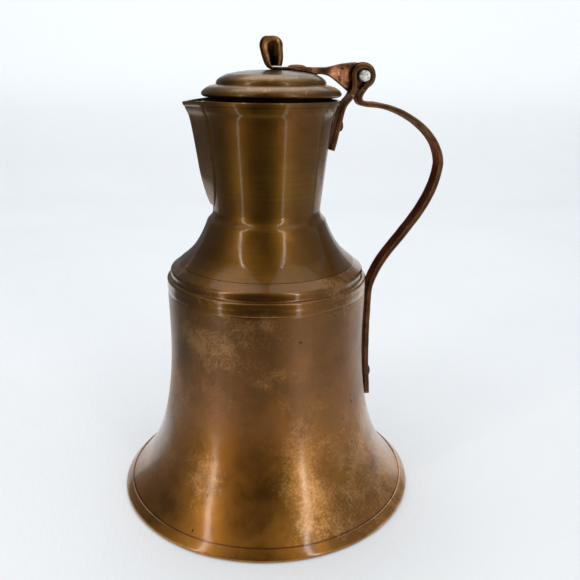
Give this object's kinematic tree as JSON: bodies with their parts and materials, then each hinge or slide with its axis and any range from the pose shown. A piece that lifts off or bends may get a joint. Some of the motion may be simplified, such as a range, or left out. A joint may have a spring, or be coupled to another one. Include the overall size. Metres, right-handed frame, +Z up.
{
  "type": "copper water jug",
  "caption": "Bell-shaped copper water jug with a flared neck, pinched pouring beak, long strip handle and a hinged lid with a loop finial.",
  "frame": {"origin": "centre of the underside of the base, on the surface that the jug stands on", "axes": "+Z up along the body's turning axis; +X towards the handle; -X towards the beak"},
  "size_m": [0.1411, 0.132, 0.1953],
  "materials": {
    "copper_body": "aged copper with a brown patina, spun and burnished",
    "copper_neck": "aged copper with a brown patina and fine spinning rings",
    "copper_lid": "aged copper, glossy, with fine scratches",
    "copper_strip": "dark reddish hammered copper strip with worn edges",
    "pin_steel": "dull silver-grey, peened end"
  },
  "bodies": {
    "jug": {"bell_body": "copper_body", "base_plate": "copper_body", "neck_shell": "copper_neck", "spout_beak": "copper_neck", "handle_strip": "copper_strip", "hinge_pin": "pin_steel", "neck_rivet": "copper_strip", "body_rivet": "copper_strip"},
    "lid": {"lid_dome": "copper_lid", "lid_collar": "copper_lid", "lid_strap": "copper_strip", "lid_rivet": "copper_strip"}
  },
  "joints": [
    {"name": "lid_hinge", "type": "hinge", "parent": "jug", "child": "lid", "pos_m": [0.0393, 0, 0.18084], "axis": [0, 1, 0], "range_deg": [0, 185]}
  ]
}
